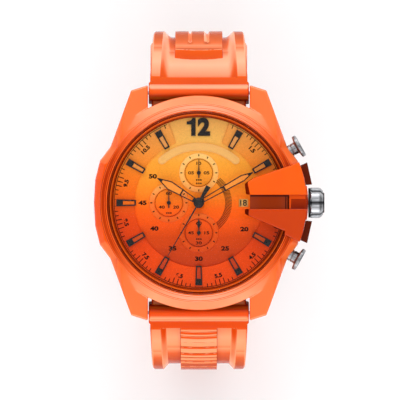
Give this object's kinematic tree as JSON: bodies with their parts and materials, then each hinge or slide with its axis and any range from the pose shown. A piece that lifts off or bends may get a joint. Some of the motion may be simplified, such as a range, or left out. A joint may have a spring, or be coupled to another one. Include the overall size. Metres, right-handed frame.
{
  "type": "chronograph wrist watch",
  "caption": "Oversized sports chronograph with translucent moulded case and strap, sub-dials, pushers, crown under a guard, shown unbuckled.",
  "frame": {"origin": "centre of the case back's flat outer face", "axes": "+Z out of the dial, +Y to 12 o'clock, +X to 3 o'clock (crown side)"},
  "size_m": [0.0566, 0.0825, 0.0756],
  "materials": {
    "shell": "translucent orange moulding, gloss",
    "strap": "translucent orange polyurethane, satin",
    "guard_dark": "dark brown translucent moulding",
    "dial": "graded orange dial",
    "dial_ring": "raised graded orange ring",
    "cream": "cream enamel",
    "dark_applied": "dark lacquer with orange filling",
    "steel": "satin steel",
    "brass": "movement plate, satin",
    "glass": "mineral glass, clear",
    "rubber": "gasket",
    "resin": "movement holder",
    "board": "circuit board",
    "copper": "copper winding"
  },
  "bodies": {
    "case": {"bezel": "shell", "case_back": "steel", "case_back_gasket": "rubber", "case_back_screw_1": "steel", "case_back_screw_2": "steel", "case_back_screw_3": "steel", "case_back_screw_4": "steel", "case_middle": "shell", "chapter_ring": "dial_ring", "circuit_board": "board", "coin_cell": "steel", "crown_guard": "shell", "crown_tube": "steel", "crystal": "glass", "dial_badge_arc": "cream", "dial_plate": "dial", "guard_block_lower": "guard_dark", "guard_block_upper": "guard_dark", "hour_index_01": "dark_applied", "hour_index_02": "dark_applied", "hour_index_04": "dark_applied", "hour_index_05": "dark_applied", "hour_index_06": "dark_applied", "hour_index_07": "dark_applied", "hour_index_08": "dark_applied", "hour_index_09": "dark_applied", "hour_index_10": "dark_applied", "hour_index_11": "dark_applied", "main_plate": "brass", "movement_holder": "resin", "numeral_twelve": "dark_applied", "pusher_spring_lower": "steel", "pusher_spring_upper": "steel", "rehaut_ring": "shell", "spring_bar_lower": "steel", "spring_bar_upper": "steel", "stepping_coil": "copper", "train_bridge": "brass"},
    "strap_12_side": {"strap_upper": "strap", "keeper_fixed": "strap"},
    "keeper_slider": {"keeper_loose": "strap"},
    "buckle": {"buckle_frame": "steel", "buckle_bar": "steel"},
    "tongue": {"buckle_tongue": "steel"},
    "strap_6_side": {"strap_lower": "strap"},
    "crown_slider": {"setting_lever": "steel"},
    "crown_rotor": {"crown": "steel", "crown_stem": "steel"},
    "pusher_2_oclock": {"pusher_upper": "steel"},
    "pusher_4_oclock": {"pusher_lower": "steel"},
    "running_seconds": {"running_seconds_hand": "dark_applied"},
    "minute_arbor": {"minute_hand": "dark_applied", "cannon_pinion": "steel"},
    "motion_work": {"motion_wheel": "brass"},
    "hour_arbor": {"hour_hand": "dark_applied", "hour_wheel": "brass"},
    "date_ring": {"date_disc": "cream"},
    "chrono_arbor": {"chrono_seconds_hand": "dark_applied"},
    "minute_counter": {"minute_counter_hand": "dark_applied"},
    "tenths_counter": {"tenths_hand": "dark_applied"}
  },
  "joints": [
    {"name": "strap_12_side_swing", "type": "hinge", "parent": "case", "child": "strap_12_side", "pos_m": [0, 0.027, 0.0024], "axis": [1, 0, 0], "range_deg": [0, 60]},
    {"name": "strap_6_side_swing", "type": "hinge", "parent": "case", "child": "strap_6_side", "pos_m": [0, -0.027, 0.0024], "axis": [-1, 0, 0], "range_deg": [0, 60]},
    {"name": "keeper_slide", "type": "slide", "parent": "strap_12_side", "child": "keeper_slider", "axis": [0, -0.5736, -0.8192], "range_m": [-0.002, 0.001]},
    {"name": "buckle_swing", "type": "hinge", "parent": "strap_12_side", "child": "buckle", "pos_m": [0, 0.02605, -0.03881], "axis": [1, 0, 0], "range_deg": [-35, 30]},
    {"name": "tongue_swing", "type": "hinge", "parent": "buckle", "child": "tongue", "pos_m": [0, 0.02605, -0.03881], "axis": [1, 0, 0], "range_deg": [0, 35]},
    {"name": "crown_pull", "type": "slide", "parent": "case", "child": "crown_slider", "axis": [1, 0, 0], "range_m": [0, 0.0012]},
    {"name": "crown_turn", "type": "hinge", "parent": "crown_slider", "child": "crown_rotor", "pos_m": [0.02685, 0, 0.0056], "axis": [1, 0, 0], "continuous": true},
    {"name": "pusher_2_press", "type": "slide", "parent": "case", "child": "pusher_2_oclock", "axis": [-0.8704, -0.4924, 0], "range_m": [0, 0.0009], "stiffness_N_per_m": 1500, "springref_m": -0.0005, "deforming": ["pusher_spring_upper"]},
    {"name": "pusher_4_press", "type": "slide", "parent": "case", "child": "pusher_4_oclock", "axis": [-0.8704, 0.4924, 0], "range_m": [0, 0.0009], "stiffness_N_per_m": 1500, "springref_m": -0.0005, "deforming": ["pusher_spring_lower"]},
    {"name": "running_seconds_turn", "type": "hinge", "parent": "case", "child": "running_seconds", "pos_m": [0, -0.00735, 0.008], "axis": [0, 0, -1], "continuous": true},
    {"name": "minute_hand_turn", "type": "hinge", "parent": "case", "child": "minute_arbor", "pos_m": [0, 0, 0.008], "axis": [0, 0, -1], "continuous": true},
    {"name": "motion_wheel_turn", "type": "hinge", "parent": "case", "child": "motion_work", "pos_m": [-0.00226, -0.00226, 0.007], "axis": [0, 0, -1], "continuous": true},
    {"name": "hour_hand_turn", "type": "hinge", "parent": "case", "child": "hour_arbor", "pos_m": [0, 0, 0.008], "axis": [0, 0, -1], "continuous": true},
    {"name": "date_disc_turn", "type": "hinge", "parent": "case", "child": "date_ring", "pos_m": [0, 0, 0.0071], "axis": [0, 0, -1], "continuous": true},
    {"name": "chrono_seconds_turn", "type": "hinge", "parent": "case", "child": "chrono_arbor", "pos_m": [0, 0, 0.0099], "axis": [0, 0, -1], "continuous": true},
    {"name": "minute_counter_turn", "type": "hinge", "parent": "case", "child": "minute_counter", "pos_m": [-0.00735, 0, 0.008], "axis": [0, 0, -1], "continuous": true},
    {"name": "tenths_turn", "type": "hinge", "parent": "case", "child": "tenths_counter", "pos_m": [0, 0.00735, 0.008], "axis": [0, 0, -1], "continuous": true}
  ],
  "couplings": [
    {"joint": "minute_hand_turn", "follows": "running_seconds_turn", "ratio": 0.016667},
    {"joint": "motion_wheel_turn", "follows": "running_seconds_turn", "ratio": -0.0055556},
    {"joint": "hour_hand_turn", "follows": "running_seconds_turn", "ratio": 0.0013889},
    {"joint": "date_disc_turn", "follows": "running_seconds_turn", "ratio": 0.000022401},
    {"joint": "minute_counter_turn", "follows": "chrono_seconds_turn", "ratio": 0.016667}
  ]
}
